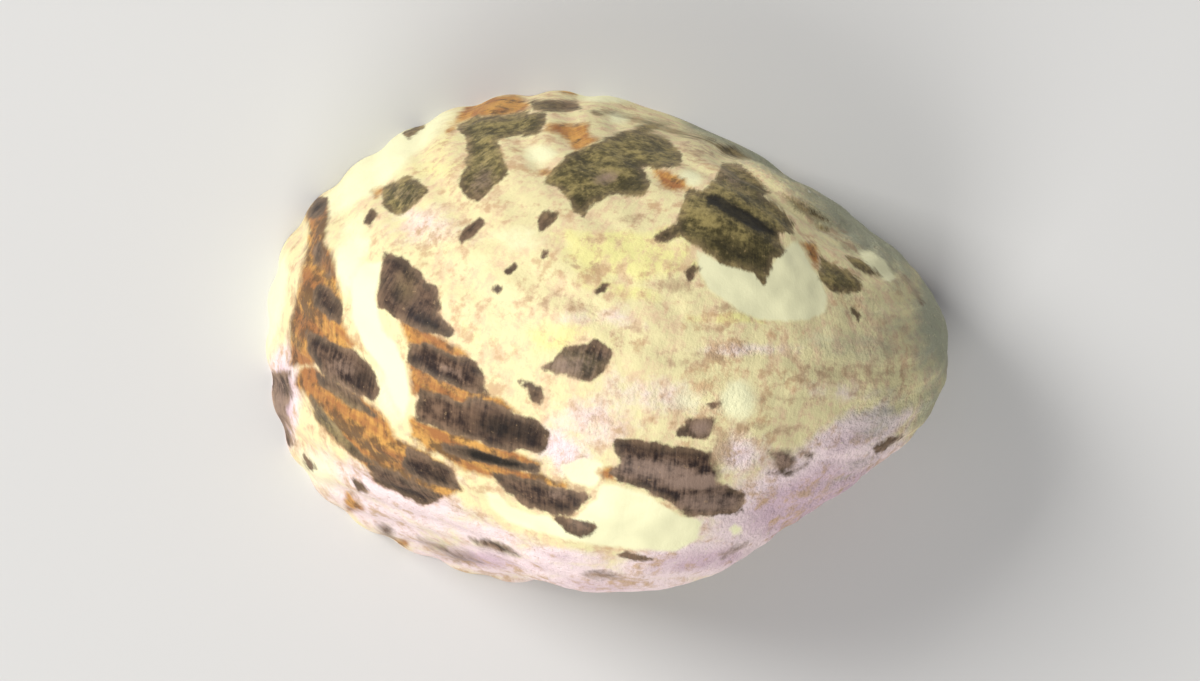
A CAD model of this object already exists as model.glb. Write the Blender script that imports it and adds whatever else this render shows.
# %% [markdown]
# # A blotched nerite shell
#
# A nerite is a small sea snail with a thick, low, domed shell. This one is empty and rests on its
# mouth, and the camera looks straight down on it. The solid model that was packed before this
# script gives the shell's true size and place. Here we build the same shell again as a fine mesh,
# with its cords, growth lines and worn specks, and paint its markings with nodes.

import math

import bmesh
import bpy
import numpy as np
from mathutils import Matrix, Vector, noise
from mathutils.bvhtree import BVHTree


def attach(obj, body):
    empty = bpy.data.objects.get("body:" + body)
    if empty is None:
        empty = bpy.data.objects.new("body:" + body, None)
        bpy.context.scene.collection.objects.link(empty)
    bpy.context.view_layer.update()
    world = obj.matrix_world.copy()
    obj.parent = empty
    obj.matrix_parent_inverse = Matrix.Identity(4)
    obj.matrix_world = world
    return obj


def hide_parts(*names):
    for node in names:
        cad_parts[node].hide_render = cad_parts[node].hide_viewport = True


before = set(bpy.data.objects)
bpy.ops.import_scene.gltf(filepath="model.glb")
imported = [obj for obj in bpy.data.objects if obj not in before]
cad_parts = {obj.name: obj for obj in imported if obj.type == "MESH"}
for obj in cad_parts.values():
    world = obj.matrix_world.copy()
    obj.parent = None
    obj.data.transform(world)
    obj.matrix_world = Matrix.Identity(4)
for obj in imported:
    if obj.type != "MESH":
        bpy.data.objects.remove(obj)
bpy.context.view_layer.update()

# %% [markdown]
# ## The coil
#
# A snail adds to the edge of its shell as it grows, and keeps the same shape while it gets larger.
# So the outside is one tube that turns round an axis and widens by the same factor every turn: a
# logarithmic spiral. We could sculpt the shell by eye, but the formula gives every point two
# natural coordinates, the turn and the angle round the section. Cords follow the turn and growth
# lines follow the section, so both lie exactly as they do on the real shell. The numbers are in
# millimetres and degrees, and they are the solid model's own.

# %% Numbers of the coil
APEX = np.array([8.04, 5.50, 5.44])
AXIS_AZIMUTH = 58.7
AXIS_RISE = 21.0
WIDENING_PER_TURN = 4.12
SECTION_FROM_AXIS = 3.81
SECTION_BELOW_APEX = 8.57
SECTION_HALF_LENGTH = 8.02
SECTION_HALF_WIDTH = 7.77
SECTION_TILT = -39
SMALLEST_FROM_AXIS = 0.02
BASE_EDGE = -80
TOP_EDGE = 158
CORD_COUNT = 22

growth = math.log(WIDENING_PER_TURN) / 360
rise, azimuth = math.radians(AXIS_RISE), math.radians(AXIS_AZIMUTH)
axis = np.array([
    math.cos(rise) * math.cos(azimuth),
    math.cos(rise) * math.sin(azimuth),
    math.sin(rise),
])
over_top = np.array([0, 0, 1]) - axis[2] * axis
over_top /= np.linalg.norm(over_top)
to_lip = -np.cross(axis, over_top)
print("axis of the coil:", axis.round(3))

# %% [markdown]
# ## The outline
#
# A grown shell is never a perfect spiral. Its outline, seen from above, swells in some directions
# and shrinks in others, and the side with the spire is pressed flat. A few smooth bumps, each with
# a direction, a spread and a height, move the plain spiral to the real outline. We keep them apart
# from the spiral, so that they can also be undone when we look for a point's own coordinates.

# %% Swellings and the pressed flank
SWELLINGS = [
    (0, 24, 0.97), (22, 16, -0.52), (44, 20, 0.13), (66, 20, -0.62), (92, 24, -0.34),
    (122, 26, -0.43), (146, 18, -0.27), (166, 16, 0.20), (184, 16, -0.19), (204, 18, 0.08),
    (230, 24, -0.71), (268, 24, 0.71), (290, 18, 0.13), (316, 16, -0.81), (334, 16, -0.72),
]
OUTLINE_HALF_LENGTH = 13.5
OUTLINE_HALF_WIDTH = 9.9
FLANK_DIRECTION = 57
FLANK_DISTANCE = 9.35
SPIRE_DIRECTION = 42
SPIRE_SPREAD = 30
SPIRE_PRESS = 0.19


def bell(direction, middle, spread):
    away = (direction - middle + 180) % 360 - 180
    return np.exp(-((away / spread) ** 2))


def shaped(points):
    """The plain spiral's points, moved to the real outline."""
    x, y = points[..., 0], points[..., 1]
    direction, radius = np.arctan2(y, x), np.hypot(x, y)
    outline = 1 / np.hypot(
        np.cos(direction) / OUTLINE_HALF_LENGTH, np.sin(direction) / OUTLINE_HALF_WIDTH)
    degrees = np.degrees(direction)
    swelling = sum(height * bell(degrees, middle, spread) for middle, spread, height in SWELLINGS)
    radius = radius + swelling * np.minimum(radius / outline, 1.15) ** 2
    x, y = radius * np.cos(direction), radius * np.sin(direction)
    towards = math.radians(FLANK_DIRECTION)
    share = (x * math.cos(towards) + y * math.sin(towards)) / FLANK_DISTANCE
    inside = (share > 0) & (share < 1)
    moved = 4 * SPIRE_PRESS * bell(np.degrees(np.arctan2(y, x)), SPIRE_DIRECTION, SPIRE_SPREAD)
    moved = np.where(inside, moved * share ** 2 * (1 - share) * FLANK_DISTANCE, 0)
    return np.stack(
        [x + moved * math.cos(towards), y + moved * math.sin(towards), points[..., 2]], axis=-1)


def unshaped(points, steps=60):
    """Undoes shaped by small corrections."""
    guess = points.copy()
    for _ in range(steps):
        guess += points - shaped(guess)
    return guess


def wall_points(turn, around, size=1.0):
    """Points of the tube's wall for arrays of turns and section angles, in degrees."""
    scale = np.exp(growth * turn)
    tilt = math.radians(SECTION_TILT)
    along = size * SECTION_HALF_LENGTH * np.cos(np.radians(around))
    across = size * SECTION_HALF_WIDTH * np.sin(np.radians(around))
    outward = SECTION_FROM_AXIS + along * math.cos(tilt) - across * math.sin(tilt)
    upward = -SECTION_BELOW_APEX + along * math.sin(tilt) + across * math.cos(tilt)
    from_axis = scale * np.maximum(outward, SMALLEST_FROM_AXIS)
    plain = (
        APEX
        + (from_axis * np.cos(np.radians(turn)))[..., None] * over_top
        + (from_axis * np.sin(np.radians(turn)))[..., None] * to_lip
        + (scale * upward)[..., None] * axis)
    return shaped(plain)


top_of_shell = wall_points(np.array([0.0]), np.array([60.0]))
print("a point on the top of the shell, mm:", top_of_shell.round(2))

# %% [markdown]
# ## Rough solids
#
# We make the shell the way a potter would throw it: first a full form, then the hollow is cut out.
# The full form is a few closed tubes, one for each stretch of the coil, with the callus, a taut
# skin of shell that closes the hollow under the coil. A helper turns rings of points into a closed
# mesh. We work in millimetres here, because the remesh tool dislikes very small voxels, and shrink
# the finished mesh to metres at the end.

# %% Helpers for solids
WHORLS = [(-190, 130, 3), (115, 180, 5), (-430, -178, 5), (-700, -420, 8)]
RING_POINTS = 132


def new_piece(name, mesh):
    piece = bpy.data.objects.new(name, mesh)
    bpy.context.scene.collection.objects.link(piece)
    return piece


def tube_piece(name, rings):
    """A closed tube through rings of points, with a fan over each end."""
    ring_count, count = rings.shape[:2]
    points = rings.reshape(-1, 3)
    hubs = [rings[0].mean(axis=0), rings[-1].mean(axis=0)]
    first_hub, last_hub = len(points), len(points) + 1
    faces = []
    for r in range(ring_count - 1):
        for i in range(count):
            a, b = r * count + i, r * count + (i + 1) % count
            faces.append((a, b, b + count, a + count))
    last = (ring_count - 1) * count
    for i in range(count):
        j = (i + 1) % count
        faces.append((first_hub, j, i))
        faces.append((last_hub, last + i, last + j))
    mesh = bpy.data.meshes.new(name)
    mesh.from_pydata([tuple(p) for p in np.vstack([points, hubs])], [], faces)
    return new_piece(name, mesh)


def stretch_rings(start, end, step, count):
    turns = np.linspace(start, end, round((end - start) / step) + 1)
    arounds = np.linspace(BASE_EDGE, TOP_EDGE, count + 1)
    return wall_points(*np.broadcast_arrays(turns[:, None], arounds[None, :]))


def box_piece(name, low, high):
    mesh = bpy.data.meshes.new(name)
    form = bmesh.new()
    bmesh.ops.create_cube(form, size=1)
    for corner in form.verts:
        corner.co = [l + (c + 0.5) * (h - l) for c, l, h in zip(corner.co, low, high)]
    form.to_mesh(mesh)
    form.free()
    return new_piece(name, mesh)


def lump_piece(name, centre, half_sizes, detail=3, pointing=(0, 0, 1)):
    """A rounded lump, its own Z axis turned to point along the given direction."""
    mesh = bpy.data.meshes.new(name)
    form = bmesh.new()
    bmesh.ops.create_icosphere(form, subdivisions=detail, radius=1)
    turn = Vector((0, 0, 1)).rotation_difference(Vector(pointing)).to_matrix().to_4x4()
    place = Matrix.Translation(centre) @ turn @ Matrix.Diagonal((*half_sizes, 1))
    bmesh.ops.transform(form, matrix=place, verts=form.verts)
    form.to_mesh(mesh)
    form.free()
    return new_piece(name, mesh)


def joined(name, pieces):
    """One object that holds the meshes of several, which are removed."""
    form = bmesh.new()
    for piece in pieces:
        form.from_mesh(piece.data)
        bpy.data.objects.remove(piece)
    mesh = bpy.data.meshes.new(name)
    form.to_mesh(mesh)
    form.free()
    return new_piece(name, mesh)


def applied(piece):
    """Applies the object's modifiers to its mesh."""
    seen = piece.evaluated_get(bpy.context.evaluated_depsgraph_get())
    mesh = bpy.data.meshes.new_from_object(seen)
    piece.modifiers.clear()
    piece.data = mesh
    return piece


def remeshed(piece, voxel):
    tool = piece.modifiers.new("even skin", "REMESH")
    tool.mode = "VOXEL"
    tool.voxel_size = voxel
    return applied(piece)


def keep_top_island(mesh):
    """Removes every part of a mesh that is not joined to its highest vertex, such as tiny bubbles."""
    form = bmesh.new()
    form.from_mesh(mesh)
    top = max(form.verts, key=lambda vertex: vertex.co.z)
    reached, to_visit = {top}, [top]
    while to_visit:
        vertex = to_visit.pop()
        for edge in vertex.link_edges:
            other = edge.other_vert(vertex)
            if other not in reached:
                reached.add(other)
                to_visit.append(other)
    loose = [vertex for vertex in form.verts if vertex not in reached]
    bmesh.ops.delete(form, geom=loose, context="VERTS")
    form.to_mesh(mesh)
    form.free()


def cut(piece, cutter):
    tool = piece.modifiers.new("cut", "BOOLEAN")
    tool.operation = "DIFFERENCE"
    tool.solver = "MANIFOLD"
    tool.object = cutter
    applied(piece)
    bpy.data.objects.remove(cutter)
    return piece


# %% [markdown]
# The callus is a hull over the low front of the whorls, drawn in a little so that it stays under
# them. The voxel remesh then fuses everything that overlaps into one even skin.

# %% Full form
CALLUS_FROM, CALLUS_TO = -120, 0
CALLUS_TOP = 2.8
CALLUS_FOOT = 0.8
CALLUS_DRAWN_IN = 0.94
VOXEL = 0.175


def callus_piece():
    points = stretch_rings(-190, 180, 10, 30).reshape(-1, 3)
    direction = np.degrees(np.arctan2(points[:, 1], points[:, 0]))
    low = points[
        (direction > CALLUS_FROM) & (direction < CALLUS_TO)
        & (points[:, 2] > 0) & (points[:, 2] < CALLUS_TOP)]
    low[:, :2] *= CALLUS_DRAWN_IN
    foot = low[low[:, 2] < CALLUS_FOOT].copy()
    foot[:, 2] = -1
    form = bmesh.new()
    for point in np.vstack([low, foot]):
        form.verts.new(point)
    hull = bmesh.ops.convex_hull(form, input=form.verts)
    inner = {v for v in hull["geom_interior"] if isinstance(v, bmesh.types.BMVert)}
    inner |= {v for v in hull["geom_unused"] if isinstance(v, bmesh.types.BMVert)}
    bmesh.ops.delete(form, geom=list(inner), context="VERTS")
    mesh = bpy.data.meshes.new("callus")
    form.to_mesh(mesh)
    form.free()
    return new_piece("callus", mesh)


whorls = [
    tube_piece("whorl", stretch_rings(start, end, step, RING_POINTS))
    for start, end, step in WHORLS]
full = remeshed(joined("full form", whorls + [callus_piece()]), VOXEL)
print("full form:", len(full.data.polygons), "faces")

# %% [markdown]
# ## The chamber and the deck
#
# The animal lived in one plain room, because nerites dissolve their inner walls as they grow. The
# room is the same tube drawn in by the wall's thickness. Half of the mouth is covered by a shelf,
# the deck, so the shelf's block is taken out of the room before the room is cut out of the shell.
# Then a shallow hollow is cut into the deck's face.

# %% Cut the chamber
WALL_SCALE = 0.885
CHAMBER_CENTRE = np.array([-2.6, -0.2, -0.6])
DECK_EDGE_X = 0.1
DECK_EDGE_TURN = math.radians(-4.7)
DECK_THICKNESS = 1.5
DECK_HOLLOW_CENTRE = (-1.2, -0.1, -0.15)
DECK_HOLLOW_HALF_SIZES = (9.6, 6.3, 0.75)
CHAMBER_STRETCH = (-165, 180, 5, 90)
FAR = 60.0


def into_chamber(points):
    return (points - CHAMBER_CENTRE) * WALL_SCALE + CHAMBER_CENTRE


chamber = tube_piece("chamber", into_chamber(stretch_rings(*CHAMBER_STRETCH)))
shelf = box_piece("shelf", (0, -FAR, -DECK_THICKNESS), (FAR, FAR, DECK_THICKNESS))
shelf.data.transform(
    Matrix.Translation((DECK_EDGE_X, 0, 0)) @ Matrix.Rotation(DECK_EDGE_TURN, 4, "Z"))
cut(chamber, shelf)
cut(full, chamber)
cut(full, lump_piece("hollow", DECK_HOLLOW_CENTRE, DECK_HOLLOW_HALF_SIZES, 5))
print("hollowed form:", len(full.data.polygons), "faces")

# %% [markdown]
# ## Relief of the mouth
#
# A nerite's deck has a few blunt teeth on its straight edge and small grains on its face, and the
# outer lip has low ribs inside. Each is a small lump, placed by the same formulas as in the solid
# model. They are joined to the shell before the last remesh, which melts them into it. The remesh
# can leave tiny bubbles inside the wall, so only the part that holds the top is kept.

# %% Teeth, grains and lip ribs
DECK_TEETH = 4
TOOTH_PITCH = 1.35
TOOTH_HALF_SIZES = (0.62, 0.42, 0.42)
TOOTH_LEVEL = 0.95
GRAIN_COUNT = 30
GRAIN_RADIUS = 0.30
GRAIN_SPREAD = 0.72
GRAIN_FIELD_X = 4.4
GRAIN_FIELD_STRETCH = (0.8, 1.15)
GRAIN_SMALLEST, GRAIN_VARIES, GRAIN_RHYTHM = 0.75, 0.35, 7.3
GOLDEN_ANGLE = math.radians(137.508)
LIP_RIB_ANGLES = np.arange(-44, 122.1, 7.5)
LIP_RIB_HALF_SIZES = (0.28, 0.28, 0.95)
LIP_RIB_LEAN = 3
LIP_LEVEL = 0.5


def deck_level(x, y):
    (cx, cy, cz), (rx, ry, rz) = DECK_HOLLOW_CENTRE, DECK_HOLLOW_HALF_SIZES
    reach = ((x - cx) / rx) ** 2 + ((y - cy) / ry) ** 2
    return max(0, cz + rz * math.sqrt(max(0, 1 - reach)))


def lip_turn(around, level):
    """The turn at which the chamber's wall comes down to a level near the mouth."""
    turns = np.linspace(0, 170, 1701)
    heights = into_chamber(wall_points(turns, np.full_like(turns, around)))[:, 2]
    return turns[np.argmax(heights < level)]


lumps = []
for i in range(DECK_TEETH):
    y = (i - (DECK_TEETH - 1) / 2) * TOOTH_PITCH
    x = DECK_EDGE_X - y * math.tan(DECK_EDGE_TURN)
    lumps.append(lump_piece("tooth", (x, y, TOOTH_LEVEL), TOOTH_HALF_SIZES))
for i in range(GRAIN_COUNT):
    reach = GRAIN_SPREAD * math.sqrt(i + 0.5)
    x = GRAIN_FIELD_X + reach * math.cos(GOLDEN_ANGLE * i) * GRAIN_FIELD_STRETCH[0]
    y = reach * math.sin(GOLDEN_ANGLE * i) * GRAIN_FIELD_STRETCH[1]
    size = GRAIN_RADIUS * (GRAIN_SMALLEST + GRAIN_VARIES * math.sin(GRAIN_RHYTHM * i))
    lumps.append(lump_piece("grain", (x, y, deck_level(x, y)), (size, size, size), 2))
for around in LIP_RIB_ANGLES:
    turn = lip_turn(around, LIP_LEVEL)
    low, high = into_chamber(wall_points(np.array([turn, turn - LIP_RIB_LEAN]), np.full(2, around)))
    lumps.append(lump_piece("rib", low, LIP_RIB_HALF_SIZES, 2, pointing=high - low))
print(len(lumps), "lumps")

shell = joined("nerite_shell", [full] + lumps)
remeshed(shell, VOXEL)
cut(shell, box_piece("below", (-FAR, -FAR, -FAR), (FAR, FAR, 0)))
keep_top_island(shell.data)
print("shell:", len(shell.data.polygons), "faces")

# %% [markdown]
# ## Where each point lies on the coil
#
# Cords, growth lines and colour bands all follow the coil, so every point of the mesh must know its
# turn and its angle round the section. The remesh has lost them. We could keep them through the
# remesh as stored attributes, but reading them back from the formula is exact: we undo the swellings
# and measure the two angles. A point may lie near two whorls, and it belongs to the one whose wall it
# is nearest to. The reach says how near: it is 1 on the wall itself and less inside the tube.

# %% Coordinates of every vertex
LAPS = 3
DOWNWARD = (0.8, 0.95)
MOUTH_DEPTH = (-3.2, -2.6)
WALL_REACH = (0.93, 0.965)


def coil_place(points):
    """Turn, angle round the section and reach of points near the wall."""
    plain = unshaped(points) - APEX
    ahead, up, side = plain @ axis, plain @ over_top, plain @ to_lip
    from_axis = np.hypot(up, side)
    tilt = math.radians(SECTION_TILT)
    turn, around, reach = np.zeros((3, len(points)))
    for lap in range(LAPS):
        this_turn = np.degrees(np.arctan2(side, up)) - 360 * lap
        scale = np.exp(growth * this_turn)
        outward = from_axis / scale - SECTION_FROM_AXIS
        upward = ahead / scale + SECTION_BELOW_APEX
        along = (outward * math.cos(tilt) + upward * math.sin(tilt)) / SECTION_HALF_LENGTH
        across = (upward * math.cos(tilt) - outward * math.sin(tilt)) / SECTION_HALF_WIDTH
        this_reach = np.hypot(along, across)
        nearer = np.abs(this_reach - 1) < np.abs(reach - 1)
        turn = np.where(nearer, this_turn, turn)
        around = np.where(nearer, np.degrees(np.arctan2(across, along)), around)
        reach = np.where(nearer, this_reach, reach)
    return turn, around, reach


def vertex_values(mesh, name):
    values = np.empty(len(mesh.vertices) * 3)
    mesh.vertices.foreach_get(name, values)
    return values.reshape(-1, 3)


def smooth(value, low, high):
    share = np.clip((value - low) / (high - low), 0, 1)
    return share * share * (3 - 2 * share)


place = vertex_values(shell.data, "co")
facing = vertex_values(shell.data, "normal")
turn, around, reach = coil_place(place)
underside = smooth(-facing[:, 2], *DOWNWARD) * smooth(-place[:, 2], *MOUTH_DEPTH)
outside = smooth(reach, *WALL_REACH) * (1 - underside)
print("share of the vertices on the outside:", outside.mean().round(3))

# %% [markdown]
# ## Cords, a growth ledge and wear
#
# About twenty low flat cords run with the coil, and one ledge crosses them where the snail once
# stopped growing. Years of sand and surf have worn both down. A bump map could fake this, but it
# vanishes at the outline, where the photograph shows small scallops. So we move the vertices
# themselves along their normals, by a few tenths of a millimetre. The cords are flatter on top, and
# where the spire leans on the straight flank they are almost worn away.

# %% Move the outside
CORD_RELIEF = 0.014
REST_TURN = -62
REST_WIDTH = 5
REST_STEP = 0.014
CREST_LEVEL = 0.7
WEAR_DEPTH = 0.10
WEAR_SIZE = 2.4
WORN_OFF_TOP, TOP_HEIGHTS = 0.6, (7, 12)
WORN_OFF_FLANK, FLANK_X, FLANK_Y = 0.8, (-1, 2), (6.2, 8.2)
FOOT_HEIGHTS = (0.3, 2)
FOOT = 0.05

cord = (around - BASE_EDGE) / (TOP_EDGE - BASE_EDGE) * CORD_COUNT
crest = 1 - np.abs(np.cos(np.pi * cord)) ** 3
ledge = 1 / (1 + np.exp(-(turn - REST_TURN) / REST_WIDTH))
section_size = SECTION_HALF_WIDTH * np.exp(growth * turn)
worn = np.array([noise.fractal(Vector(p) / WEAR_SIZE, 0.8, 2, 3) for p in place])
cord_height = CORD_RELIEF * (1 - WORN_OFF_TOP * smooth(place[:, 2], *TOP_HEIGHTS))
relief = section_size * (cord_height * (crest - CREST_LEVEL) + REST_STEP * (ledge - 1))
relief += WEAR_DEPTH * worn * smooth(place[:, 2], *FOOT_HEIGHTS)
on_flank = smooth(place[:, 1], *FLANK_Y) * smooth(place[:, 0], *FLANK_X)
relief *= 1 - WORN_OFF_FLANK * on_flank
push = facing.copy()
at_foot = place[:, 2] < FOOT
push[at_foot, 2] = 0
push[at_foot] /= np.maximum(np.linalg.norm(push[at_foot], axis=1), 0.5)[:, None]
place += (relief * outside)[:, None] * push
place[:, 2] = np.maximum(place[:, 2], 0)
shell.data.vertices.foreach_set("co", place.ravel())
print("largest move, mm:", np.abs(relief * outside).max().round(3))

# %% [markdown]
# ## Growth coordinate
#
# Growth lines are old positions of the lip, so they run parallel to it. For every angle round the
# section we find the turn at which the wall meets the ground, which is the lip, and count a point's
# growth back from there in millimetres.

# %% Distance behind the lip
LIP_TURNS = np.linspace(60, 175, 1151)
LIP_ANGLES = np.linspace(-90, 170, 131)
LAST_LIP_TURN = 150
MILLIMETRES_PER_DEGREE = 0.175

heights = wall_points(*np.broadcast_arrays(LIP_TURNS[None, :], LIP_ANGLES[:, None]))[..., 2]
under_ground = heights < 0
lip_at = LIP_TURNS[np.argmax(under_ground, axis=1)]
lip_at = np.where(under_ground.any(axis=1), lip_at, LAST_LIP_TURN)
lip_at = np.minimum(lip_at, LAST_LIP_TURN)
behind_lip = (turn - np.interp(around, LIP_ANGLES, lip_at)) * MILLIMETRES_PER_DEGREE
print("growth behind the lip, mm:", behind_lip.min().round(1), "to", behind_lip.max().round(1))

# %% [markdown]
# ## Camera
#
# The photograph looks straight down on the shell from a distance. We place the camera 0.3 m up, and
# choose the lens so that the shell fills the same part of the frame. The same numbers tell where any
# point of the shell falls in the photograph, which the markings need.

# %% Camera straight above
CAMERA_HEIGHT = 300.0
OUTLINE_LEVEL = 5.0
MILLIMETRES_PER_PIXEL = 0.03924
FRAME_WIDTH = 1200
FRAME_MIDDLE = np.array([600, 340.5])
AIM = np.array([-0.196, -0.118])
SENSOR_WIDTH = 36.0
MILLIMETRE = 0.001


def photo_place(points):
    """Where points of the shell fall in the photograph, in pixels."""
    nearer = (CAMERA_HEIGHT - OUTLINE_LEVEL) / (CAMERA_HEIGHT - points[:, 2])
    off_middle = (points[:, :2] - AIM) * nearer[:, None] / MILLIMETRES_PER_PIXEL
    return FRAME_MIDDLE + off_middle * (1, -1)


camera_data = bpy.data.cameras.new("camera")
camera_data.sensor_width = SENSOR_WIDTH
seen_width = FRAME_WIDTH * MILLIMETRES_PER_PIXEL
camera_data.lens = SENSOR_WIDTH * (CAMERA_HEIGHT - OUTLINE_LEVEL) / seen_width
camera = bpy.data.objects.new("camera", camera_data)
camera.location = (*(AIM * MILLIMETRE), CAMERA_HEIGHT * MILLIMETRE)
bpy.context.scene.collection.objects.link(camera)
bpy.context.scene.camera = camera
print("lens, mm:", round(camera_data.lens, 1))

# %% [markdown]
# ## Markings
#
# The dark and the rusty patches are this shell's own, like a fingerprint, so a random pattern would
# not do. Each patch was looked at in the photograph, and the corners of its outline were noted by
# hand, in pixels. They say only where a patch ends; its colour, hatching and ragged edge come later,
# from the nodes.

# %% Outlines of the dark patches
DARK_OUTLINES = {
    "patch under the left band": [(385, 253), (400, 258), (421, 273), (425, 284), (436, 287),
        (440, 307), (437, 313), (453, 333), (449, 338), (412, 326), (380, 307), (377, 295), (382, 275)],
    "small upper left": [(385, 188), (407, 176), (426, 187), (429, 191), (409, 209), (399, 216),
        (392, 211), (382, 204)],
    "speck beside it": [(372, 209), (376, 215), (370, 227), (365, 222)],
    "upper band": [(457, 124), (478, 117), (503, 117), (524, 112), (545, 114), (545, 124), (536, 134),
        (513, 136), (496, 141), (499, 149), (505, 165), (508, 174), (492, 186), (478, 202), (467, 196),
        (459, 184), (464, 172), (469, 156), (468, 141), (462, 132)],
    "streak at the top": [(529, 102), (547, 100), (575, 102), (581, 109), (565, 111), (536, 110)],
    "rim spot": [(403, 133), (421, 126), (424, 127), (409, 139)],
    "leaf 1": [(460, 238), (467, 227), (480, 219), (484, 223), (474, 234), (462, 242)],
    "leaf 2": [(539, 218), (545, 212), (558, 212), (554, 220), (539, 232)],
    "speck 1": [(541, 257), (544, 251), (548, 251), (545, 259)],
    "speck 2": [(506, 271), (515, 265), (514, 269), (508, 273)],
    "speck 3": [(492, 290), (496, 285), (501, 288), (495, 294)],
    "speck 4": [(596, 292), (603, 284), (608, 285), (600, 295)],
    "left ellipse": [(315, 291), (322, 284), (333, 290), (342, 307), (340, 323), (329, 319),
        (315, 304)],
    "left streak": [(313, 250), (320, 241), (324, 254), (321, 267), (314, 264)],
    "left streak 2": [(328, 257), (333, 252), (333, 275), (327, 276)],
    "left top": [(306, 213), (317, 198), (327, 199), (324, 212), (312, 218)],
    "left bar": [(307, 331), (320, 336), (336, 345), (354, 350), (370, 365), (377, 377), (379, 391),
        (374, 401), (361, 396), (347, 389), (327, 377), (315, 364), (307, 350)],
    "bar 1": [(410, 343), (430, 345), (451, 354), (474, 361), (482, 373), (484, 387), (493, 397),
        (467, 391), (439, 379), (418, 369), (408, 361)],
    "bar 2": [(421, 389), (444, 396), (462, 403), (480, 398), (499, 406), (519, 416), (540, 423),
        (550, 434), (545, 449), (538, 454), (519, 449), (508, 451), (490, 446), (467, 437), (444, 430),
        (418, 421), (417, 407)],
    "bar 3": [(444, 444), (467, 447), (492, 455), (517, 461), (538, 467), (537, 473), (513, 469),
        (485, 463), (462, 458), (444, 449)],
    "bar 4": [(492, 472), (517, 478), (542, 483), (565, 490), (591, 497), (581, 506), (572, 515),
        (554, 513), (529, 507), (508, 492)],
    "tail spot": [(554, 517), (570, 520), (593, 524), (598, 528), (588, 536), (579, 536), (565, 530)],
    "lozenge": [(542, 369), (558, 357), (568, 348), (586, 345), (596, 341), (612, 350), (606, 364),
        (602, 373), (586, 382), (568, 376)],
    "by lozenge": [(518, 380), (533, 384), (544, 391), (541, 404), (531, 399), (527, 390)],
    "band streak": [(316, 372), (340, 386), (360, 400), (378, 418), (362, 412), (340, 398),
        (320, 384)],
    "band edge": [(310, 396), (322, 411), (338, 430), (356, 449), (376, 464), (358, 459), (338, 442),
        (318, 420)],
    "band end": [(407, 449), (430, 458), (451, 468), (460, 490), (439, 485), (416, 478), (402, 467)],
    "band foot": [(368, 465), (389, 469), (416, 484), (444, 496), (425, 505), (398, 492), (377, 481)],
    "rim mauve": [(268, 373), (290, 371), (292, 396), (285, 412), (294, 445), (283, 444), (274, 416)],
    "rim 2": [(304, 455), (311, 462), (315, 469), (309, 469), (305, 462)],
    "low 1": [(352, 478), (361, 484), (369, 492), (359, 490)],
    "low 2": [(375, 523), (391, 527), (394, 540), (384, 537)],
    "low 3": [(469, 538), (490, 540), (508, 547), (519, 556), (499, 552), (478, 546)],
    "low 4": [(418, 538), (444, 545), (467, 552), (483, 563), (457, 561), (434, 550)],
    "low 5": [(581, 575), (593, 571), (620, 574), (620, 578), (593, 578)],
    "big top": [(550, 172), (565, 164), (586, 151), (620, 135), (650, 121), (671, 124)],
    "big top b": [(560, 164), (575, 151), (601, 141), (624, 131), (642, 130), (667, 140), (681, 154),
        (680, 164), (667, 168), (642, 167), (649, 185), (644, 194), (629, 197), (616, 192), (593, 202),
        (584, 215), (575, 210), (565, 192), (545, 182), (549, 174)],
    "big right": [(723, 164), (739, 164), (754, 177), (769, 192), (762, 196), (777, 205), (793, 223),
        (793, 233), (779, 232), (777, 243), (786, 251), (772, 259), (769, 269), (764, 284), (756, 273),
        (736, 266), (723, 264), (713, 256), (698, 246), (682, 236), (672, 238), (657, 243), (654, 238),
        (662, 231), (677, 225), (685, 202), (688, 190), (703, 192), (718, 177)],
    "olive streak": [(716, 144), (733, 146), (749, 158), (736, 158), (723, 154)],
    "streak a": [(784, 195), (800, 200), (815, 210), (830, 222), (815, 219), (797, 210)],
    "streak b": [(818, 225), (828, 228), (828, 232), (819, 229)],
    "right patch": [(820, 256), (830, 264), (846, 271), (861, 282), (862, 289), (846, 293), (830, 289),
        (820, 279)],
    "right streak": [(846, 256), (861, 261), (881, 276), (871, 275), (853, 265)],
    "right faint": [(904, 276), (917, 292), (922, 304), (912, 292)],
    "right mark": [(852, 307), (860, 315), (858, 321), (853, 313)],
    "speck 5": [(686, 271), (693, 265), (699, 268), (691, 282), (688, 280)],
    "front patch": [(615, 440), (631, 439), (662, 445), (688, 448), (711, 453), (713, 460), (721, 471),
        (718, 483), (744, 493), (742, 511), (718, 515), (685, 515), (672, 504), (659, 496), (644, 488),
        (621, 481), (611, 473), (621, 463), (614, 448)],
    "front grey": [(677, 435), (688, 419), (714, 419), (712, 430), (707, 437)],
    "dash": [(707, 404), (725, 401), (723, 404), (711, 407)],
    "faint 1": [(768, 451), (790, 450), (796, 458), (795, 468), (779, 474), (774, 463)],
    "faint 2": [(800, 451), (813, 453), (810, 458), (802, 456)],
    "faint 3": [(767, 473), (800, 469), (807, 463), (790, 476)],
    "front streak": [(617, 555), (626, 552), (639, 557), (654, 559), (634, 560)],
    "front rim": [(719, 555), (733, 547), (749, 543), (736, 552), (723, 557)],
    "right rim": [(874, 448), (887, 439), (902, 436), (889, 445), (876, 453)],
    "bottom": [(584, 573), (611, 573), (626, 575), (611, 578), (586, 578)],
    "groove": [(593, 111), (616, 112), (647, 121), (667, 127), (693, 135), (713, 140), (713, 142),
        (690, 137), (662, 130), (642, 123), (616, 114), (593, 113)],
}
print(len(DARK_OUTLINES), "dark patches")

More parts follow.
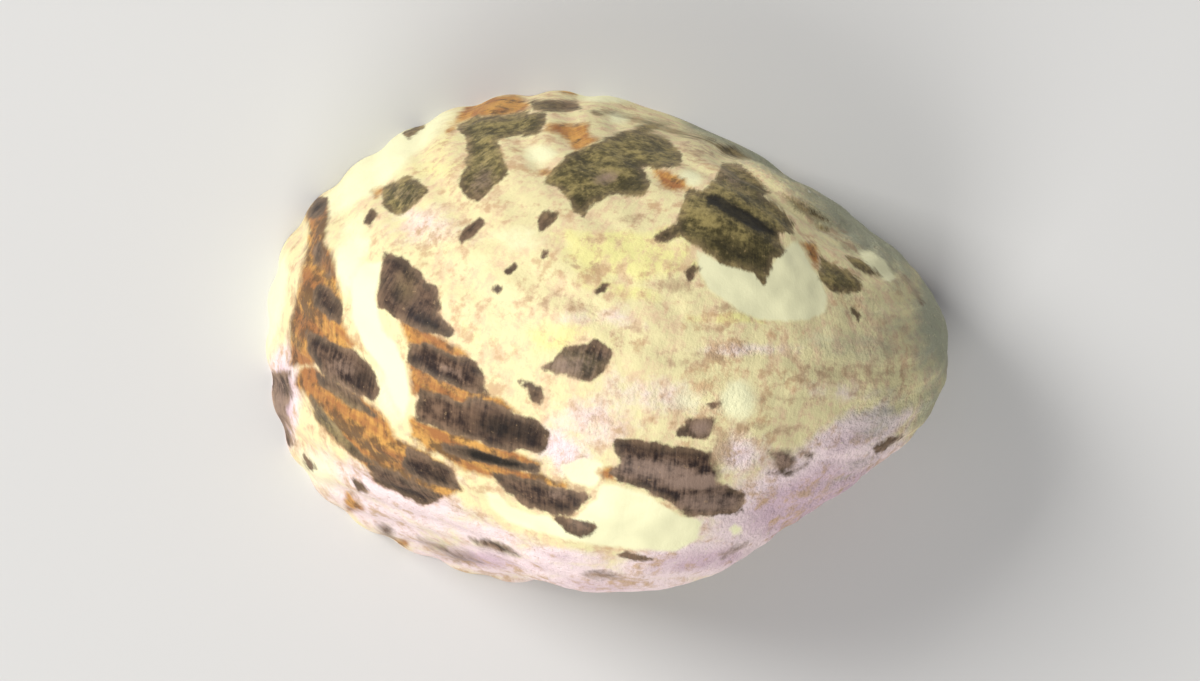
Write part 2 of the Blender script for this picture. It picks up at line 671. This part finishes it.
# %% Outlines of the rusty patches
RUST_OUTLINES = {
    "left band top": [(306, 213), (317, 198), (327, 201), (329, 218), (324, 241), (331, 252),
        (336, 275), (339, 287), (341, 321), (359, 365), (290, 365), (290, 321), (294, 310), (301, 277),
        (306, 254), (307, 238), (309, 229)],
    "small upper left": [(389, 197), (398, 181), (408, 178), (412, 181), (400, 192), (391, 204),
        (387, 204)],
    "speck": [(372, 192), (382, 187), (384, 190), (376, 198)],
    "top rim": [(474, 100), (490, 96), (515, 94), (524, 100), (531, 105), (524, 112), (503, 116),
        (478, 117), (457, 125), (448, 134), (446, 131), (455, 124), (462, 110)],
    "top right": [(545, 124), (588, 124), (588, 135), (600, 140), (581, 151), (575, 156), (570, 142),
        (558, 133), (545, 129)],
    "tip": [(541, 172), (552, 170), (565, 164), (570, 181), (558, 182)],
    "rim dot": [(561, 90), (578, 91), (575, 95), (563, 94)],
    "left over bar": [(309, 320), (333, 320), (346, 334), (361, 348), (340, 346), (324, 336)],
    "under patch": [(400, 318), (421, 328), (444, 338), (462, 350), (470, 360), (450, 358),
        (430, 350), (410, 346), (404, 334)],
    "over bar 2": [(408, 360), (430, 372), (460, 386), (486, 392), (504, 402), (522, 415), (500, 412),
        (470, 407), (440, 402), (414, 394), (410, 376)],
    "under bar 2": [(410, 418), (440, 427), (470, 436), (500, 447), (522, 454), (540, 464),
        (538, 470), (500, 464), (470, 460), (444, 457), (428, 450), (411, 436)],
    "under bar 3": [(436, 448), (480, 458), (515, 468), (542, 474), (550, 478), (568, 484),
        (566, 490), (545, 489), (515, 482), (490, 476), (470, 471), (450, 462)],
    "over tail": [(552, 516), (570, 519), (572, 522), (556, 520)],
    "left big band": [(294, 384), (301, 368), (313, 366), (327, 377), (361, 396), (375, 408),
        (389, 423), (395, 439), (409, 446), (430, 455), (451, 467), (461, 490), (453, 494), (425, 505),
        (398, 492), (375, 481), (366, 467), (352, 455), (329, 435), (317, 419), (308, 398)],
    "left foot": [(290, 320), (307, 320), (307, 350), (304, 359), (294, 364), (291, 343)],
    "low": [(344, 494), (350, 492), (364, 509), (347, 511)],
    "low rim": [(389, 538), (407, 542), (407, 546), (398, 547)],
    "red": [(653, 168), (668, 171), (683, 179), (691, 191), (674, 190), (660, 183)],
    "right": [(802, 243), (815, 243), (820, 256), (818, 269), (811, 259)],
    "front tip": [(598, 471), (614, 468), (615, 481), (601, 479)],
    "front mid": [(657, 483), (688, 486), (713, 483), (723, 487), (713, 493), (667, 496)],
}
print(len(RUST_OUTLINES), "rusty patches")

# %% [markdown]
# ## Deep and glazed places
#
# In some stripes the pigment is almost black. In a few places the last of the glaze is left, smooth
# and pale, with an edge where it has chipped away. Both are outlined by hand too.

# %% Outlines of the deep and glazed places
DEEP_OUTLINES = {
    "black line": [(703, 194), (722, 198), (742, 210), (762, 222), (776, 234), (756, 230), (728, 214),
        (710, 203)],
    "bar 3 middle": [(470, 450), (500, 458), (524, 466), (500, 464), (474, 457)],
}
GLAZE_OUTLINES = {
    "middle": [(697, 250), (722, 262), (757, 273), (768, 272), (778, 254), (794, 240), (803, 246),
        (812, 268), (821, 278), (828, 296), (826, 312), (808, 320), (786, 322), (760, 320),
        (740, 312), (722, 300), (708, 288), (698, 270)],
    "front": [(484, 490), (498, 492), (510, 506), (530, 514), (556, 516), (575, 518), (584, 508),
        (596, 498), (600, 484), (620, 486), (644, 493), (664, 506), (682, 516), (704, 520),
        (696, 542), (676, 552), (640, 550), (600, 546), (566, 540), (530, 530), (504, 520),
        (490, 506)],
    "bar gap": [(560, 466), (584, 458), (602, 462), (604, 476), (594, 488), (570, 482)],
    "left": [(382, 262), (376, 300), (382, 330), (396, 344), (406, 368), (410, 400), (404, 418),
        (392, 400), (384, 372), (366, 350), (352, 318), (350, 280), (362, 262)],
    "spire oval": [(858, 250), (870, 250), (886, 262), (896, 278), (888, 283), (866, 268)],
    "front oval": [(734, 524), (742, 526), (742, 534), (733, 536), (729, 530)],
}
print(len(DEEP_OUTLINES), "deep stripes and", len(GLAZE_OUTLINES), "glazed places")

# %% [markdown]
# A plain mask of a patch would show the mesh's steps along its edge. We keep a distance instead: how
# far a vertex lies inside the nearest outline, with a minus sign outside. It changes evenly from
# vertex to vertex, so the nodes can draw a sharp or ragged edge anywhere they like.

# %% Distance inside the patches
NOT_NEAR = -60.0


def distance_inside(points, outline):
    """How many pixels points lie inside a closed outline, negative outside it."""
    corners = np.array(outline, dtype=float)
    nearest = np.full(len(points), np.inf)
    inside = np.zeros(len(points), dtype=bool)
    for start, end in zip(corners, np.roll(corners, -1, axis=0)):
        edge, away = end - start, points - start
        share = np.clip(away @ edge / (edge @ edge), 0, 1)
        nearest = np.minimum(nearest, np.hypot(*(away - share[:, None] * edge).T))
        spans = (start[1] > points[:, 1]) != (end[1] > points[:, 1])
        if edge[1]:
            inside ^= spans & (away[:, 0] < away[:, 1] * edge[0] / edge[1])
    return np.where(inside, nearest, -nearest)


def inside_any(points, outlines):
    deepest = np.full(len(points), NOT_NEAR)
    for outline in outlines.values():
        low, high = np.min(outline, axis=0) + NOT_NEAR, np.max(outline, axis=0) - NOT_NEAR
        near = ((points > low) & (points < high)).all(axis=1)
        deepest[near] = np.maximum(deepest[near], distance_inside(points[near], outline))
    return deepest * MILLIMETRES_PER_PIXEL


in_photo = photo_place(place)
dark_seen = inside_any(in_photo, DARK_OUTLINES)
rust_seen = inside_any(in_photo, RUST_OUTLINES)
deep_depth = inside_any(in_photo, DEEP_OUTLINES)
glaze_depth = inside_any(in_photo, GLAZE_OUTLINES)
print("vertices inside dark patches:", int((dark_seen > 0).sum()))

# %% [markdown]
# The photograph shows only what faces up and has nothing above it, which a ray straight up tells.
# Elsewhere the pattern goes on in the same manner: blotches a few millimetres long that lie along the
# cords, with rust on their older side. Smooth noise in coil coordinates gives such blotches. The
# glaze has worn off there, because these are the places that rub on sand and stones.

# %% Patches where the photograph does not reach
BLOTCH_LENGTH = 3.2
BLOTCH_CORDS = 1.5
BLOTCH_LIMIT, RUST_LIMIT = 0.16, 0.22
BLOTCH_LAYER = 4.2
RUST_SHIFT = 0.9
STEEP, FLAT = -0.45, -0.12
RAY_LIFT = 0.1


def blotches(shift, limit):
    cells = zip((behind_lip + shift) / BLOTCH_LENGTH, cord / BLOTCH_CORDS)
    levels = np.array([noise.noise(Vector((a, b, BLOTCH_LAYER))) for a, b in cells])
    return (levels - limit) * BLOTCH_LENGTH


skin = BVHTree.FromPolygons(place.tolist(), [tuple(face.vertices) for face in shell.data.polygons])
starts = place + facing * RAY_LIFT
open_above = np.array([skin.ray_cast(start, (0, 0, 1))[0] is None for start in starts.tolist()])
seen = smooth(facing[:, 2], STEEP, FLAT) * open_above
dark_depth = seen * dark_seen + (1 - seen) * blotches(0, BLOTCH_LIMIT)
rust_depth = seen * rust_seen + (1 - seen) * blotches(RUST_SHIFT, RUST_LIMIT)
glaze_depth += (1 - seen) * NOT_NEAR * MILLIMETRES_PER_PIXEL
print("share that the photograph shows:", seen.mean().round(3))

# %% [markdown]
# ## Broad tones
#
# Between the patches the shell is not one cream. It is rosy where the surface is worn matt, greyish
# green towards the spire, tan along some cords, yellow in the middle and nearly white near the lip.
# The patches change too. Their pigment turns olive near the spire. In places it is faded, has a soft
# edge or lies in a deeper shade, and rust has more bark-like spots along the lip. Soft ellipses, each
# with a middle, two radii, a lean and a strength, say where. Where two overlap, the stronger counts.

# %% Soft fields of colour
TONES = {
    "rosy": [
        (810, 500, 110, 44, -24, 1.5), (380, 516, 110, 20, 28, 0.75), (700, 560, 90, 20, -8, 1.25),
        (425, 225, 55, 30, 0, 0.45), (850, 440, 60, 26, -30, 1.0), (590, 420, 60, 40, 0, 0.5),
        (430, 500, 70, 20, 25, 0.7), (650, 395, 90, 26, 8, 0.45), (282, 400, 16, 50, 0, 1.5),
        (600, 318, 80, 16, 0, 0.4), (560, 450, 40, 26, 30, 0.75), (600, 586, 130, 16, 0, 1.0),
        (740, 350, 70, 10, 0, 0.5), (740, 455, 30, 26, 0, 0.75), (430, 470, 40, 10, 25, 0.7),
        (850, 392, 60, 18, 0, 0.4), (470, 530, 90, 16, 15, 0.7), (880, 430, 50, 14, -30, 0.8),
        (520, 565, 150, 12, 6, 0.9), (400, 500, 120, 22, 27, 0.8), (640, 560, 60, 10, 0, 0.5),
        (556, 556, 70, 10, 6, 0.9), (485, 560, 50, 14, 10, 1.3),
    ],
    "grey": [
        (860, 215, 120, 38, 42, 1.05), (770, 155, 110, 18, 32, 1.1), (945, 305, 36, 90, 0, 1.2),
        (700, 112, 80, 12, 18, 0.6), (885, 330, 70, 60, 0, 0.42), (935, 410, 30, 40, 20, 0.8),
        (860, 350, 60, 30, 0, 0.5), (725, 138, 70, 16, 30, 0.9), (850, 470, 60, 14, -35, 0.4),
        (885, 415, 60, 30, -25, 0.55),
    ],
    "tan": [
        (850, 372, 70, 16, 2, 0.7), (690, 358, 44, 12, 0, 0.75), (558, 302, 70, 16, 10, 0.5),
        (790, 398, 90, 6, 0, 0.6), (640, 330, 60, 14, -10, 0.45), (765, 428, 70, 7, 3, 0.7),
        (676, 286, 28, 11, 15, 0.8), (430, 240, 50, 18, -20, 0.4), (600, 240, 60, 8, 10, 0.4),
        (726, 308, 12, 6, 0, 0.9), (752, 312, 9, 7, 0, 0.9), (582, 266, 24, 7, 0, 0.6),
        (608, 346, 18, 10, 0, 0.6), (720, 330, 26, 12, 0, 0.6), (636, 218, 30, 8, 0, 0.6),
        (870, 394, 60, 12, 0, 0.5), (800, 378, 50, 12, 0, 0.55), (722, 450, 20, 26, 0, 0.9),
        (842, 240, 30, 8, 40, 0.7), (700, 150, 24, 10, 20, 0.6), (580, 490, 12, 8, 20, 0.5),
    ],
    "yellow": [
        (630, 255, 80, 26, 5, 1.0), (560, 335, 60, 26, 0, 0.6), (580, 240, 50, 20, 0, 0.6),
        (480, 330, 40, 20, 0, 0.4), (740, 318, 60, 7, 0, 0.8), (670, 232, 16, 8, 0, 1.2),
        (450, 160, 60, 40, 0, 0.5), (620, 290, 60, 10, 10, 0.7),
    ],
    "pale": [
        (388, 395, 26, 60, -18, 0.6), (738, 400, 26, 30, 0, 0.8), (350, 255, 22, 60, 12, 0.8),
        (385, 160, 110, 22, -40, 1.0), (520, 240, 50, 22, 0, 0.6), (600, 95, 50, 10, 5, 0.9),
        (320, 470, 40, 24, 40, 0.6), (540, 155, 24, 16, 0, 0.8), (690, 178, 20, 12, 10, 0.8),
        (275, 300, 14, 70, 8, 0.9), (880, 310, 16, 10, 0, 0.5), (820, 336, 30, 16, 0, 0.5),
        (690, 400, 30, 24, 0, 0.55), (616, 118, 20, 12, 0, 0.7),
    ],
    "olive": [
        (620, 165, 110, 60, 0, 0.9), (750, 215, 110, 70, 30, 1.0), (490, 140, 90, 60, 0, 0.8),
        (405, 195, 40, 30, 0, 0.7), (840, 275, 60, 40, 0, 1.0), (345, 425, 60, 30, 35, 0.5),
        (575, 364, 40, 20, 0, 0.45), (405, 285, 24, 34, 0, 0.3), (450, 345, 40, 14, 20, 0.3),
    ],
    "faded": [
        (575, 364, 34, 16, 0, 0.8), (655, 470, 54, 13, 6, 0.9), (712, 502, 44, 13, 0, 0.85),
        (702, 428, 14, 10, 0, 1.0), (700, 482, 46, 9, 0, 1.2), (800, 205, 40, 14, 38, 0.4),
        (785, 458, 40, 20, 0, 0.7), (740, 165, 30, 10, 30, 0.5), (482, 182, 20, 14, -40, 0.6),
        (606, 178, 14, 8, 0, 0.8), (735, 180, 30, 12, 30, 0.5), (335, 260, 10, 20, 0, 0.6),
        (280, 405, 20, 40, 0, 0.8), (890, 265, 30, 10, 40, 0.5), (462, 150, 14, 30, 0, 0.6),
        (730, 550, 30, 10, 0, 0.8), (905, 290, 20, 20, 0, 1.0), (555, 493, 14, 10, 0, 0.5),
        (455, 550, 70, 14, 12, 0.8), (405, 192, 24, 16, 0, 0.4), (600, 576, 60, 6, 0, 0.8),
        (345, 370, 22, 14, 45, 0.5), (450, 372, 30, 8, 25, 0.5),
    ],
    "soft": [
        (785, 458, 40, 20, 0, 0.4), (455, 550, 70, 14, 12, 0.9), (380, 530, 30, 14, 30, 0.7),
        (280, 405, 20, 40, 0, 0.3), (800, 205, 40, 14, 38, 0.4), (730, 550, 30, 10, 0, 0.6),
        (905, 290, 20, 20, 0, 1.0), (735, 150, 40, 10, 30, 0.3), (714, 470, 10, 18, 0, 0.7),
        (650, 118, 70, 14, 15, 0.5), (600, 576, 60, 6, 0, 0.5), (330, 262, 10, 20, 0, 0.7),
    ],
    "shade": [
        (508, 430, 44, 16, 14, 1.15), (366, 376, 16, 24, -40, 0.8), (432, 326, 26, 8, 35, 1.0),
        (636, 186, 16, 10, 0, 0.9), (580, 203, 14, 12, 0, 0.8), (742, 254, 44, 14, 24, 1.0),
        (496, 460, 52, 9, 15, 1.3), (385, 300, 8, 30, 0, 0.5), (548, 150, 14, 10, 0, 0.5),
        (338, 308, 14, 18, 0, 0.7), (480, 372, 14, 16, 0, 0.6), (700, 240, 20, 10, 20, 0.6),
        (572, 220, 20, 10, 0, 0.6), (760, 230, 18, 10, 40, 0.6), (845, 286, 22, 8, 0, 0.6),
        (560, 506, 26, 8, 10, 0.6), (530, 392, 14, 10, 0, 0.7), (440, 478, 24, 10, 30, 0.7),
        (664, 450, 50, 8, 7, 0.7), (750, 188, 30, 14, 30, 0.5), (402, 292, 20, 34, -20, 0.45),
    ],
    "bark": [
        (350, 430, 70, 12, 38, 0.8), (350, 392, 50, 8, 32, 0.1), (322, 236, 10, 40, 0, 1.0),
        (303, 320, 12, 60, 10, 1.0), (480, 408, 80, 6, 15, 0.6), (808, 248, 10, 10, 0, 0.8),
        (395, 470, 40, 12, 30, 0.8), (440, 452, 20, 6, 20, 0.7), (580, 128, 30, 6, 0, 0.4),
    ],
}


def tone(points, ellipses):
    total = np.zeros(len(points))
    for x, y, length, width, lean, strength in ellipses:
        away = points - (x, y)
        c, s = math.cos(math.radians(lean)), math.sin(math.radians(lean))
        along, across = away @ (c, s) / length, away @ (-s, c) / width
        total = np.maximum(total, strength * np.exp(-(along ** 2 + across ** 2)))
    return total


tones = {name: tone(in_photo, ellipses) for name, ellipses in TONES.items()}
print({name: field.mean().round(3) for name, field in tones.items()})

# %% [markdown]
# The nodes read all of this from attributes, one number for each vertex. Then the mesh shrinks from
# millimetres to metres. Its faces are shaded smooth, except across the sharp foot of the lip.

# %% Store the attributes
SHARP_ANGLE = 50


def store(mesh, name, values):
    mesh.attributes.new(name, "FLOAT", "POINT").data.foreach_set("value", values)


for name, values in {
    "behind lip": behind_lip, "cord": cord, "outside": outside, "dark depth": dark_depth,
    "rust depth": rust_depth, "deep depth": deep_depth, "glaze depth": glaze_depth, **tones,
}.items():
    store(shell.data, name, values)
shell.data.transform(Matrix.Scale(MILLIMETRE, 4))
shell.data.shade_smooth()
shell.data.set_sharp_from_angle(angle=math.radians(SHARP_ANGLE))
print([a.name for a in shell.data.attributes])

# %% [markdown]
# ## Shader maths as Python
#
# A material is a graph of nodes, and a long formula soon becomes a tangle of Math nodes. We wrap an
# output socket in a small class instead, and let Python's own operators add the nodes: writing
# 1 - mask adds a Math node set to subtract. Every other kind of node comes from one method.

# %% A socket with operators
class Signal:
    """An output socket of a node tree. Sums and products of signals become Math nodes."""

    def __init__(self, tree, socket=None):
        self.tree = tree
        self.socket = socket

    def node(self, kind, settings, inputs, output=0):
        """Adds a node: first its settings, then the values or the links of its sockets."""
        made = self.tree.nodes.new(kind)
        for name, value in settings.items():
            setattr(made, name, value)
        for name, value in inputs.items():
            if isinstance(value, Signal):
                self.tree.links.new(value.socket, made.inputs[name])
            else:
                made.inputs[name].default_value = value
        return Signal(self.tree, made.outputs[output])

    def maths(self, operation, first, second):
        return self.node("ShaderNodeMath", {"operation": operation}, {0: first, 1: second})

    def __add__(self, other):
        return self.maths("ADD", self, other)

    def __sub__(self, other):
        return self.maths("SUBTRACT", self, other)

    def __rsub__(self, other):
        return self.maths("SUBTRACT", other, self)

    def __mul__(self, other):
        return self.maths("MULTIPLY", self, other)

    __radd__ = __add__
    __rmul__ = __mul__


def new_material(name):
    material = bpy.data.materials.new(name)
    material.use_nodes = True
    return material, material.node_tree.nodes["Principled BSDF"], Signal(material.node_tree)


def tint(red, green, blue):
    """A colour as seen on a screen, 0 to 255, as the linear colour that nodes use."""
    shares = [c / 255 for c in (red, green, blue)]
    return (*[s / 12.92 if s < 0.04 else ((s + 0.055) / 1.055) ** 2.4 for s in shares], 1)


print("cream as a linear colour:", [round(c, 3) for c in tint(240, 231, 194)])

# %% [markdown]
# A few short helpers name the nodes that the finish uses most: an attribute, a noise, a soft step
# and a mix of two colours. Colours go through Mix nodes, because a Math node would turn them grey.

# %% Helpers for the finish
material, surface, finish = new_material("blotched shell")


def attribute(name):
    return finish.node("ShaderNodeAttribute", {"attribute_name": name}, {}, "Fac")


def noise_at(x, y, z, detail=2.0, roughness=0.5):
    where = finish.node("ShaderNodeCombineXYZ", {}, {"X": x, "Y": y, "Z": z})
    inputs = {"Vector": where, "Scale": 1.0, "Detail": detail, "Roughness": roughness}
    return finish.node("ShaderNodeTexNoise", {}, inputs)


def soft_step(value, low, high):
    return finish.node(
        "ShaderNodeMapRange", {"interpolation_type": "SMOOTHSTEP"},
        {"Value": value, "From Min": low, "From Max": high})


def mix(share, first, second, blend="MIX"):
    return finish.node(
        "ShaderNodeMix", {"data_type": "RGBA", "blend_type": blend},
        {0: share, 6: first, 7: second}, 2)


behind, across_cords = attribute("behind lip"), attribute("cord")
position = finish.node("ShaderNodeTexCoord", {}, {}, "Object")
x, y, z = [finish.node("ShaderNodeSeparateXYZ", {}, {0: position}, i) * 1000 for i in range(3)]
print(len(material.node_tree.nodes), "nodes so far")

# %% [markdown]
# ## Noises that follow the growth
#
# Shell is laid down one thin line after another, and its colour comes and goes with them. So most of
# the noises are stretched: they change quickly in the direction of growth and slowly along a line.
# The others are even in all directions, for stains and grains of wear that have nothing to do with
# growth.

# %% Growth lines, stains and grain
hatching = noise_at(behind * 9, across_cords * 1.3, 1.0, 2, 0.5)
streaks = noise_at(behind * 0.4, across_cords * 2.6, 2.0, 3, 0.55)
ragged = noise_at(behind * 1.9, across_cords * 2.2, 4.0, 4, 0.65) - 0.5
smears = noise_at(behind * 1.5, across_cords * 0.9, 6.0, 5, 0.65)
stains = noise_at(x * 0.9, y * 0.9, z * 0.9, 6, 0.68)
mottle = noise_at(x * 2.1, y * 2.1, z * 2.1 + 5, 4, 0.62)
clouds = noise_at(x * 0.32 + 7, y * 0.32, z * 0.32, 3, 0.5)
grain = noise_at(x * 5, y * 5, z * 5, 3, 0.6)
worn = soft_step(attribute("rosy") + attribute("grey") + clouds - 0.5, 0.1, 0.7)
print(len(material.node_tree.nodes), "nodes so far")

# %% [markdown]
# ## The pale ground
#
# The broad tones lie over the cream. Each field is broken up by stains before it is used, so that its
# edge wanders in and out instead of fading evenly. Small beige stains lie over all of it, except
# where glaze is left, and the growth lines show as a faint darker hatching.

# %% Colour of the ground
CREAM, PALE, YELLOW = tint(240, 227, 172), tint(250, 245, 198), tint(246, 238, 152)
BLUSH, MAUVE, PEACH = tint(248, 224, 226), tint(214, 184, 194), tint(232, 194, 160)
GREY, TAN, BEIGE = tint(162, 166, 144), tint(180, 152, 118), tint(204, 168, 124)


def broken(field, low=0.25, high=0.7, share=1.0):
    return soft_step(attribute(field) + (stains - 0.5) * share, low, high)


glazed = soft_step(attribute("glaze depth") + ragged * 0.3, -0.08, 0.12)
bare = (1 - broken("pale", 0.35, 0.75, 0.8)) * (1 - glazed)
ground = mix(broken("yellow") * 0.7, CREAM, YELLOW)
ground = mix(soft_step(smears * 0.6 + mottle * 0.6, 0.54, 0.72) * 0.65 * bare, ground, PEACH)
ground = mix(broken("rosy", 0.2, 0.7) * 0.9, ground, BLUSH)
ground = mix(broken("rosy", 0.7, 1.3) * 0.9, ground, MAUVE)
beige = soft_step(stains * 0.7 + mottle * 0.6 + clouds * 0.4, 0.83, 1.03)
ground = mix(beige * 0.8 * bare * (1 - attribute("grey") * 0.6), ground, BEIGE)
greyish = attribute("grey") + (stains - 0.5) * 0.6 + (streaks - 0.5) * 0.7
ground = mix(soft_step(greyish, 0.15, 0.95) * 0.88, ground, GREY)
tanned = attribute("tan") + (mottle - 0.5) * 1.6 + (streaks - 0.5) * 0.8
ground = mix(soft_step(tanned, 0.3, 0.9) * 0.7 * (1 - glazed), ground, TAN)
ground = mix(soft_step(hatching + grain * 0.6, 0.8, 1.1) * 0.1 * bare, ground, TAN)
ground = mix(soft_step(grain, 0.62, 0.75) * 0.4 * worn, ground, PALE)
ground = mix(1 - bare, ground, PALE)
print(len(material.node_tree.nodes), "nodes so far")

# %% [markdown]
# ## Dark and rusty patches
#
# A patch's distance plus a ragged noise gives its edge. Inside, the dark pigment is hatched by the
# growth lines, from nearly black to a greyish brown. Near the spire it is olive and mottled instead,
# and in faded places a pinkish brown lies over it. Rust lies on the older side of a patch and runs
# out along the cords, with brown bark-like spots in it, fewer of them near the spire.

# %% Colour of the patches
RAGGED_DEPTH = 0.5
GROWN = 0.07
UMBER, BROWN, FADED = tint(43, 30, 26), tint(124, 97, 76), tint(156, 131, 114)
MOSS, OLIVE, SOOT = tint(74, 66, 38), tint(168, 150, 94), tint(20, 16, 10)
RUST, OCHRE, BARK = tint(166, 108, 60), tint(214, 158, 80), tint(86, 64, 44)

dark_depth_here = attribute("dark depth") + ragged * RAGGED_DEPTH + GROWN
softness = attribute("soft")
dark = soft_step(dark_depth_here, softness * -0.15 - 0.05, softness * 0.4 + 0.1)
rusty = soft_step(attribute("rust depth") + ragged * RAGGED_DEPTH + GROWN, -0.1, 0.2)
deep = soft_step(attribute("deep depth") + ragged * 0.3 + 0.05, -0.1, 0.1)
olive_share = soft_step(attribute("olive"), 0.15, 0.6)
lines = hatching * 0.3 + stains * 0.4 + mottle * 0.5 + streaks * 0.4
hatched = soft_step(lines, 0.68, 0.98)
mottled = soft_step(stains * 0.6 + mottle * 0.5 + grain * 0.3 + hatching * 0.12, 0.64, 0.94)
pigment = mix(olive_share, mix(hatched, UMBER, BROWN), mix(mottled, MOSS, OLIVE))
pigment = mix(soft_step(attribute("faded") + (lines - 0.8) * 1.8, 0.2, 1.0) * 0.9, pigment, FADED)
pigment = mix(soft_step(attribute("shade") + (mottle - 0.5) * 1.2, 0.2, 1.1) * 0.7, pigment, SOOT)
pigment = mix(soft_step(grain, 0.64, 0.74) * 0.3, pigment, BEIGE)
pigment = mix((1 - soft_step(dark_depth_here, 0, 0.4)) * 0.25, pigment, TAN)
pigment = mix(deep * 0.9, pigment, SOOT)
rust_colour = mix(soft_step(streaks + hatching * 0.3, 0.5, 0.8), RUST, OCHRE)
bark = attribute("bark") - attribute("olive") * 0.6
spots = mottle * 0.7 + smears * 0.6 + streaks * 0.4 + bark * 0.16
rust_colour = mix(soft_step(spots, 0.8, 1.0) * 0.85, rust_colour, BARK)
painted = mix(rusty * 0.98, ground, rust_colour)
painted = mix(dark, painted, pigment)
print(len(material.node_tree.nodes), "nodes so far")

# %% [markdown]
# ## Porcelain inside, and the surface itself
#
# The deck and the chamber are smooth porcelain. Outside, the growth lines are far finer than the
# mesh, about a third of a millimetre apart, so they are a bump: the surface stays smooth, but light
# falls on it as if it were ridged. Worn places are matt and glazed ones shine.

# %% Join the finish
PORCELAIN, STAIN = tint(244, 240, 226), tint(224, 200, 150)
BUMP_DISTANCE = 0.00009

porcelain = mix(soft_step(clouds, 0.45, 0.75) * 0.6, PORCELAIN, STAIN)
colour = mix(attribute("outside"), porcelain, painted)
outer_roughness = 0.5 + worn * 0.2 - glazed * 0.12
roughness = 0.28 + attribute("outside") * (outer_roughness - 0.28)
height = (hatching - 0.5) * 0.12 + (grain - 0.5) * (0.2 + worn * 0.9) + (streaks - 0.5) * 0.2
height = height + (stains - 0.5) * 0.8 + (mottle - 0.5) * worn * 0.6
height = height * attribute("outside") * (1 - glazed * 0.7)
bump = finish.node("ShaderNodeBump", {}, {"Height": height, "Distance": BUMP_DISTANCE})
tree = material.node_tree
tree.links.new(colour.socket, surface.inputs["Base Color"])
tree.links.new(roughness.socket, surface.inputs["Roughness"])
tree.links.new(bump.socket, surface.inputs["Normal"])
surface.inputs["Specular IOR Level"].default_value = 0.22
shell.data.materials.clear()
shell.data.materials.append(material)
print(len(material.node_tree.nodes), "nodes in the finish")

# %% [markdown]
# ## Floor and light
#
# The shell lies on a plain pale floor. Light comes mainly from the upper left, through a large soft
# panel, and a weaker panel and the pale surroundings fill the shadows. Lamps need room, so the panels
# are placed a good half metre away.

# %% Floor, panels and surroundings
FLOOR_HALF = 2.0

floor_form = bmesh.new()
bmesh.ops.create_grid(floor_form, x_segments=8, y_segments=8, size=FLOOR_HALF)
floor_mesh = bpy.data.meshes.new("floor")
floor_form.to_mesh(floor_mesh)
floor_form.free()
floor = new_piece("floor", floor_mesh)
floor_material, floor_surface, _ = new_material("pale board")
floor_surface.inputs["Base Color"].default_value = tint(212, 210, 206)
floor_surface.inputs["Roughness"].default_value = 0.8
floor_mesh.materials.append(floor_material)


def panel(name, place, size, power):
    light = bpy.data.lights.new(name, "AREA")
    light.size, light.energy = size, power
    lamp = bpy.data.objects.new(name, light)
    lamp.location = place
    lamp.rotation_mode = "QUATERNION"
    lamp.rotation_quaternion = (-Vector(place)).to_track_quat("-Z", "Y")
    bpy.context.scene.collection.objects.link(lamp)


panel("window panel", (-0.42, 0.24, 0.40), 0.30, 3.4)
panel("front panel", (-0.15, -0.45, 0.35), 0.35, 1.9)
world = bpy.data.worlds.new("surroundings")
world.use_nodes = True
world.node_tree.nodes["Background"].inputs["Color"].default_value = tint(225, 228, 235)
world.node_tree.nodes["Background"].inputs["Strength"].default_value = 0.40
bpy.context.scene.world = world
bpy.context.scene.view_settings.view_transform = "Standard"

# %% [markdown]
# ## Hand over
#
# The shell rides on the part's one body and stands for its one solid. The two boxes are written down,
# so that the sizes can be compared.

# %% Ride, replace and measure
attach(shell, "root")
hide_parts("shell")
